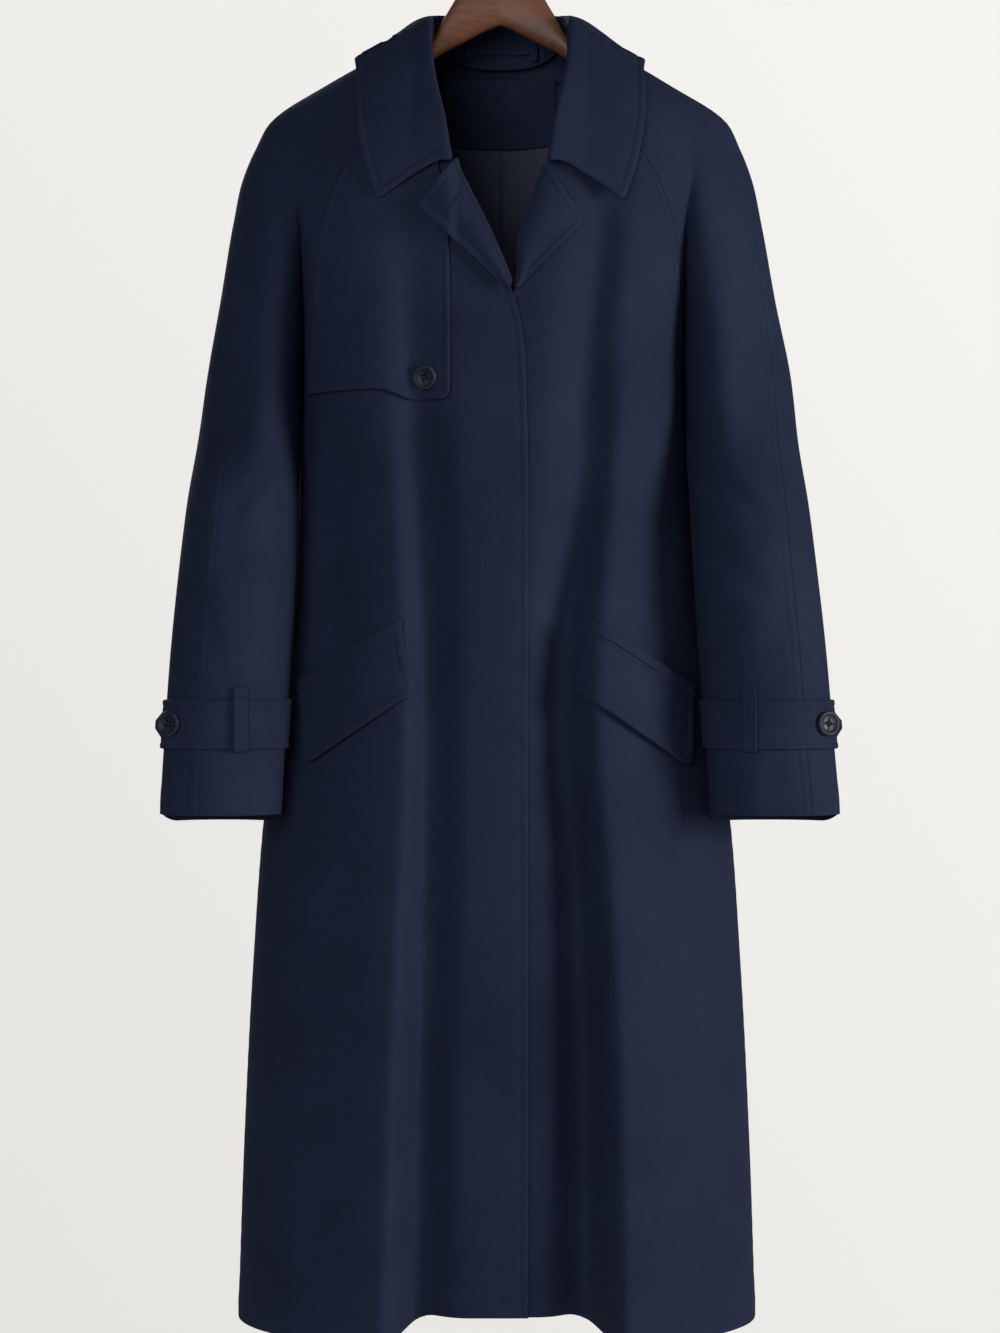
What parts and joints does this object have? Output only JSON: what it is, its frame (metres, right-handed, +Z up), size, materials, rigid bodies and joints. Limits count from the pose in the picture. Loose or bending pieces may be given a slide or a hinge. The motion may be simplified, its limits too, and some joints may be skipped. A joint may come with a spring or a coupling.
{
  "type": "trench coat on hanger",
  "caption": "Long single-breasted raglan trench coat with gun flap, cuff straps and slanted pockets, closed, on a shaped wooden hanger.",
  "frame": {"origin": "top of the inside of the hanger's hook, where the rod bears", "axes": "+Z up; the coat's front faces -Y; +X is the wearer's left side"},
  "size_m": [0.6426, 0.267, 1.3371],
  "materials": {
    "gabardine": "navy wool and cotton twill, matt with a faint sheen",
    "lining": "dark satin lining",
    "buttons": "slate grey-blue resin, half gloss",
    "hanger_wood": "reddish-brown stained and lacquered",
    "hanger_steel": "polished steel wire"
  },
  "bodies": {
    "root": {"back": "gabardine", "collar_fall": "gabardine", "collar_stand": "gabardine", "cuff_strap_left": "gabardine", "cuff_strap_right": "gabardine", "front_left": "gabardine", "front_right": "gabardine", "gun_flap": "gabardine", "hanger_loop": "gabardine", "lapel_left": "gabardine", "lapel_right": "gabardine", "neck_facing": "gabardine", "pocket_flap_left": "gabardine", "pocket_flap_right": "gabardine", "pocket_welt_left": "gabardine", "pocket_welt_right": "gabardine", "sleeve_back_left": "gabardine", "sleeve_back_right": "gabardine", "sleeve_front_left": "gabardine", "sleeve_front_right": "gabardine", "strap_loop_left": "gabardine", "strap_loop_right": "gabardine", "lining_back": "lining", "hanger_wood": "hanger_wood", "hanger_hook": "hanger_steel", "button_chest": "buttons", "button_cuff_left": "buttons", "button_cuff_right": "buttons"}
  },
  "joints": []
}
